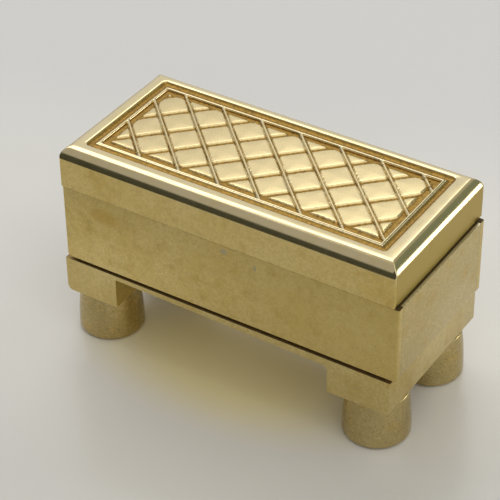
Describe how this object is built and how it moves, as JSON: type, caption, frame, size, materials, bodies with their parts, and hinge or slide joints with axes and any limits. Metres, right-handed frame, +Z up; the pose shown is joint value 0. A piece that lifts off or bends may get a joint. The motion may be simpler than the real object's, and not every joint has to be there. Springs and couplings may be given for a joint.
{
  "type": "needle case",
  "caption": "Small brass box for sewing needles on turned feet, with a quilted lid hinged along the back edge.",
  "frame": {"origin": "on the surface the feet stand on, under the middle of the whole object", "axes": "+Z up, +X along the length to the right as seen from the front, front at -Y, hinge at +Y"},
  "size_m": [0.056, 0.0256, 0.0327],
  "materials": {
    "polished_brass": "polished, tarnished in the hollows",
    "plate_brass": "satin, mottled with age",
    "inner_brass": "dull, unpolished",
    "fitting_brass": "satin",
    "base_brass": "satin, mottled with age",
    "foot_brass": "turned, dulled"
  },
  "bodies": {
    "case": {"body_hinge_leaf": "fitting_brass", "body_leaf_rivets": "fitting_brass", "hinge_pin": "fitting_brass", "front_wall": "plate_brass", "back_wall": "plate_brass", "left_end_wall": "plate_brass", "right_end_wall": "plate_brass", "floor_plate": "inner_brass", "liner_front": "inner_brass", "liner_left": "inner_brass", "liner_right": "inner_brass", "floor_screws": "fitting_brass", "base_block_left": "base_brass", "base_block_right": "base_brass", "base_band": "base_brass", "foot_front_left": "foot_brass", "foot_front_right": "foot_brass", "foot_back_left": "foot_brass", "foot_back_right": "foot_brass"},
    "lid": {"lid_casting": "polished_brass", "lid_hinge_leaf": "fitting_brass", "lid_leaf_rivets": "fitting_brass"}
  },
  "joints": [
    {"name": "lid_hinge", "type": "hinge", "parent": "case", "child": "lid", "pos_m": [0.00053, 0.01182, 0.02626], "axis": [-1, 0, 0], "range_deg": [0, 105]}
  ]
}
